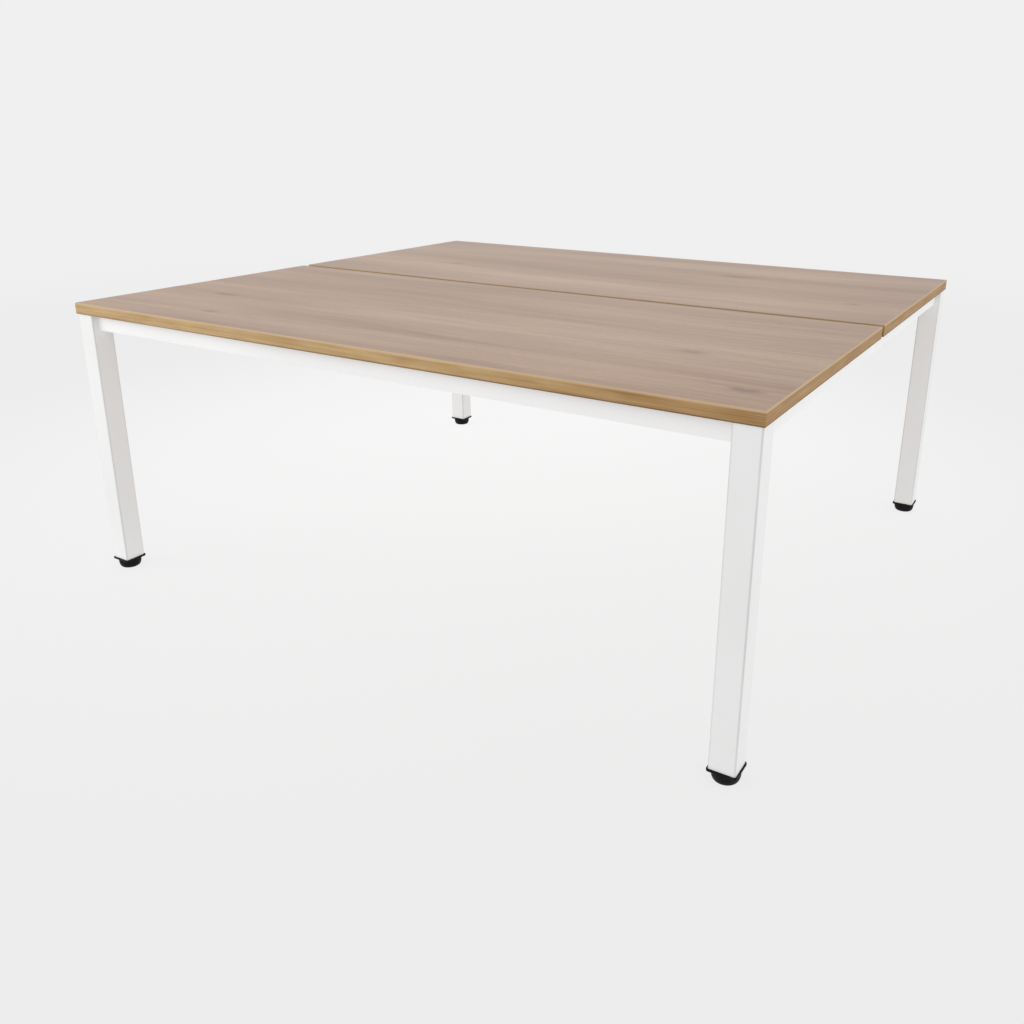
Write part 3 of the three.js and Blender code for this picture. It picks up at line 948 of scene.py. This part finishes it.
middle = times_plus(tall, 0.5, sunk)
reach = minus(size["plug"], size["wall"])
solid = melted(
    cap, plate, wall, fins, pin(cap, size["boss"], tall, middle),
    bar(cap, reach, size["wall"], tall, middle), bar(cap, size["wall"], reach, tall, middle),
)
pocket = pin(cap, size["nut"], times(size["nut_height"], 2.0), 0.0, HEX_SIDES)
through = pin(cap, size["bore"], RIGHT_THROUGH, 0.0)
end_tree(cap, size, moved(cap, carved(cap, solid, pocket, through), size["place"]))
print("cap tree nodes:", len(cap.nodes))

# %% [markdown]
# A moulding has no sharp rim where a hand or a shoe meets it. A Bevel modifier rounds the two rims of
# the flange, by a weight on just those edges: they are level, and they lie on the outside.

# %% Foot caps
RIM_ROUND = 0.0008
RIM_STEPS = 3
RIM_INSET = 0.003


def round_rims(piece, low, high):
    mesh = piece.data
    levels = (low.z, low.z + FLANGE_HEIGHT)
    weights = mesh.attributes.new("bevel_weight_edge", "FLOAT", "EDGE")
    for edge in mesh.edges:
        ends = [mesh.vertices[i].co for i in edge.vertices]
        flat = any(all(abs(p.z - level) < WELD for p in ends) for level in levels)
        depths = [min(p.x - low.x, high.x - p.x, p.y - low.y, high.y - p.y) for p in ends]
        weights.data[edge.index].value = float(flat and max(depths) < RIM_INSET)
    bevel = piece.modifiers.new("rims", "BEVEL")
    bevel.limit_method = "WEIGHT"
    bevel.width = RIM_ROUND
    bevel.segments = RIM_STEPS
    return shade_evenly(piece)


for corner in CORNERS:
    place, (across, deep, tall) = foot_of("foot_cap_" + corner)
    foot_cap = make("moulded_cap_" + corner, cap, moulded, flange=across, place=place)
    round_rims(foot_cap, *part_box("foot_cap_" + corner))
    dress(foot_cap, "frame", "foot_black", "foot_cap_" + corner)
    measure(foot_cap)

# %% [markdown]
# The stem of a levelling foot is an M10 thread. The CAD model has it as a plain rod. Here a fine tube
# of rings is pushed in and out: the height and the angle of a point together say where it lies between
# two crests, because one turn round the stem is worth one pitch of height. The last turns fade out.

# %% Threaded stem tree
STEM_SIDES = 32
STEM_RINGS = 336
CREST = (0.07, 0.43)
FADE = (0.0004, 0.0018)
COLLAR_HEIGHT = 0.004
THREAD_CREASE = math.radians(80.0)

stem, size = start_tree(
    "threaded_stem", diameter=0.010, pitch=0.0015, depth=0.0009, length=0.042, collar=0.016,
    collar_height=COLLAR_HEIGHT, place=(0.0, 0.0, 0.0),
)
plus, minus, times, over, times_plus = sums(stem)
radius = times(size["diameter"], 0.5)
plain = rod(stem, radius, size["length"], STEM_SIDES, **{"Side Segments": STEM_RINGS})
point = split(stem, add(stem, "GeometryNodeInputPosition").outputs[0])
turn = over(calc(stem, "ARCTAN2", point["Y"], point["X"]), math.tau)
climb = minus(over(point["Z"], size["pitch"]), turn)
crest = span(stem, calc(stem, "PINGPONG", climb, 0.5), *CREST)
tip = minus(times(size["length"], 0.5), point["Z"])
crest = times(crest, span(stem, tip, *FADE))
groove = times(minus(1.0, crest), size["depth"])
narrow = minus(1.0, over(groove, radius))
spiral = vector(stem, times(point["X"], narrow), times(point["Y"], narrow), point["Z"])
cut = add(stem, "GeometryNodeSetPosition", {"Geometry": plain, "Position": spiral}).outputs[0]
cut = moved(stem, cut, vector(stem, z=times_plus(size["length"], 0.5, size["collar_height"])))
half = times(size["collar_height"], 0.5)
ring = pin(stem, times(size["collar"], 0.5), size["collar_height"], half)
end_tree(stem, size, moved(stem, joined(stem, cut, ring), size["place"]), THREAD_CREASE)
print("stem tree nodes:", len(stem.nodes))

# %% [markdown]
# Each foot has its own stem, which rides on the foot's own sliding body. Its length is what the CAD
# model's stem has above the collar.

# %% Threaded stems
for corner in CORNERS:
    place, (across, deep, tall) = foot_of("foot_stem_" + corner)
    thread = make("threaded_stem_" + corner, stem, zinc, length=tall - COLLAR_HEIGHT, place=place)
    dress(thread, "stem_" + corner, "zinc_steel", "foot_stem_" + corner)
    measure(thread)

# %% [markdown]
# The glide is a turned dome of black plastic that stands on the floor. It starts as a drum of rings, a
# metre high and a metre in radius. Each ring gets its height and radius from a quarter of an ellipse, up
# to the rim, which is straight and has a small chamfer. Last, shallow flutes on the rim, for the fingers
# that turn it, come from a cosine of the angle.

# %% Dome of the glide
DOME_SHARE = 0.8
RIM = 0.003
DRUM_SIDES = 144
DRUM_RINGS = 40
CHAMFER_START, CHAMFER = 0.92, 0.001
FLUTE_START, FLUTE_FULL = 0.5, 0.85

glide, size = start_tree(
    "fluted_glide", base=0.022, top=0.029, rise=0.020, rim=RIM, flutes=18, flute_depth=0.0007,
    neck=0.0053, grip=0.0083, seat=0.012, roof=0.0163, place=(0.0, 0.0, 0.0),
)
plus, minus, times, over, times_plus = sums(glide)
drum = rod(glide, 1.0, 1.0, DRUM_SIDES, **{"Side Segments": DRUM_RINGS})
point = split(glide, add(glide, "GeometryNodeInputPosition").outputs[0])
level = plus(point["Z"], 0.5)
swing = span(glide, level, 0.0, DOME_SHARE, 0.0, math.pi / 2)
height = times(minus(1.0, calc(glide, "COSINE", swing)), size["rise"])
height = times_plus(span(glide, level, DOME_SHARE, 1.0), size["rim"], height)
radius = times_plus(calc(glide, "SINE", swing), minus(size["top"], size["base"]), size["base"])
radius = minus(radius, span(glide, level, CHAMFER_START, 1.0, 0.0, CHAMFER))
angle = calc(glide, "ARCTAN2", point["Y"], point["X"])
flute = calc(glide, "COSINE", times(angle, size["flutes"]))
flute = calc(glide, "POWER", times_plus(flute, 0.5, 0.5), 2.0)
flute = times(flute, smooth(glide, level, FLUTE_START, FLUTE_FULL))
radius = minus(radius, times(flute, size["flute_depth"]))
formed = vector(glide, times(point["X"], radius), times(point["Y"], radius), height)
dome = add(glide, "GeometryNodeSetPosition", {"Geometry": drum, "Position": formed}).outputs[0]
print("glide tree nodes so far:", len(glide.nodes))

# %% [markdown]
# The stem's collar is moulded into the glide, so a wide pocket holds the collar and a narrow shaft above
# it lets the stem out. Each glide rides on the foot's own turning body.

# %% Fluted glides
SHAFT = 0.016
SHAFT_RISE = 0.007

hold = minus(size["roof"], size["seat"])
pocket = pin(glide, size["grip"], hold, times_plus(hold, 0.5, size["seat"]))
shaft = pin(glide, size["neck"], SHAFT, plus(size["roof"], SHAFT_RISE))
hollow = carved(glide, dome, melted(glide, pocket, shaft))
end_tree(glide, size, moved(glide, hollow, size["place"]))
for corner in CORNERS:
    place, (across, deep, tall) = foot_of("foot_glide_" + corner)
    foot = make("fluted_glide_" + corner, glide, moulded, top=across / 2, rise=tall - RIM, place=place)
    dress(foot, "glide_" + corner, "foot_black", "foot_glide_" + corner)
    measure(foot)

# %% [markdown]
# Each worktop has four strips of edge band. The long ones end square against the short ones, which lap
# over them. A strip is a box with only its outer edges rounded, so mesh code with a bevel is simpler
# here than a tree: it picks the edges that lie on the outward face.

# %% Shape of a band strip
ARRIS_STEPS = 5


def outward_side(node, low, high):
    far, near = (low, high) if abs(low) > abs(high) else (high, low)
    return near if node.endswith("inner") else far


def strip_mesh(node, axis, lapped):
    low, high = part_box(node)
    outward = outward_side(node, low[axis], high[axis])
    shape = bmesh.new()
    bmesh.ops.create_cube(shape, size=1.0)
    for vertex in shape.verts:
        vertex.co = [(a + b) / 2 + c * (b - a) for a, b, c in zip(low, high, vertex.co)]
    rounded = []
    for edge in shape.edges:
        on_face = [abs(v.co[axis] - outward) < WELD for v in edge.verts]
        along = abs(edge.verts[0].co.x - edge.verts[1].co.x) > WELD
        picked = any(on_face) if lapped else all(on_face) and along
        if picked:
            rounded.append(edge)
    bmesh.ops.bevel(
        shape, geom=rounded, offset=ARRIS, segments=ARRIS_STEPS, profile=0.5, affect="EDGES",
        clamp_overlap=True,
    )
    for face in shape.faces:
        face.smooth = True
    mesh = bpy.data.meshes.new("strip_" + node)
    shape.to_mesh(mesh)
    shape.free()
    mesh.set_sharp_from_angle(angle=CREASE)
    mesh.materials.append(amber)
    return mesh


print("arris", ARRIS, "in", ARRIS_STEPS, "steps")

# %% [markdown]
# The eight strips follow the CAD model's band nodes. The outward face of a strip is the one far from the
# middle of the desk, except beside the cable gap, where it is the near one.

# %% Edge bands
def band_strip(node, axis, lapped):
    strip = shade_evenly(new_piece("strip_" + node, strip_mesh(node, axis, lapped)))
    dress(strip, "frame", "edge_band", node)
    measure(strip)


for end in ENDS:
    for side in ("outer", "inner"):
        band_strip(f"band_{end}_{side}", axis=1, lapped=False)
    for hand in HANDS:
        band_strip(f"band_{end}_{hand}", axis=0, lapped=True)

# %% [markdown]
# What stays hidden inside the tubes keeps its CAD shape and only gets its finish: the spigots that the
# rails slide on, the nuts in the caps and the screws that hold the worktops.

# %% Hidden steel
hidden = [name for name in nodes if name.startswith(("spigot", "foot_nut", "top_screw"))]
for name in hidden:
    nodes[name].material_slots[0].material = zinc
print("carried over in zinc:", len(hidden))

# %% Overall size
low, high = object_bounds()
print("visual box:", tuple(low), tuple(high))
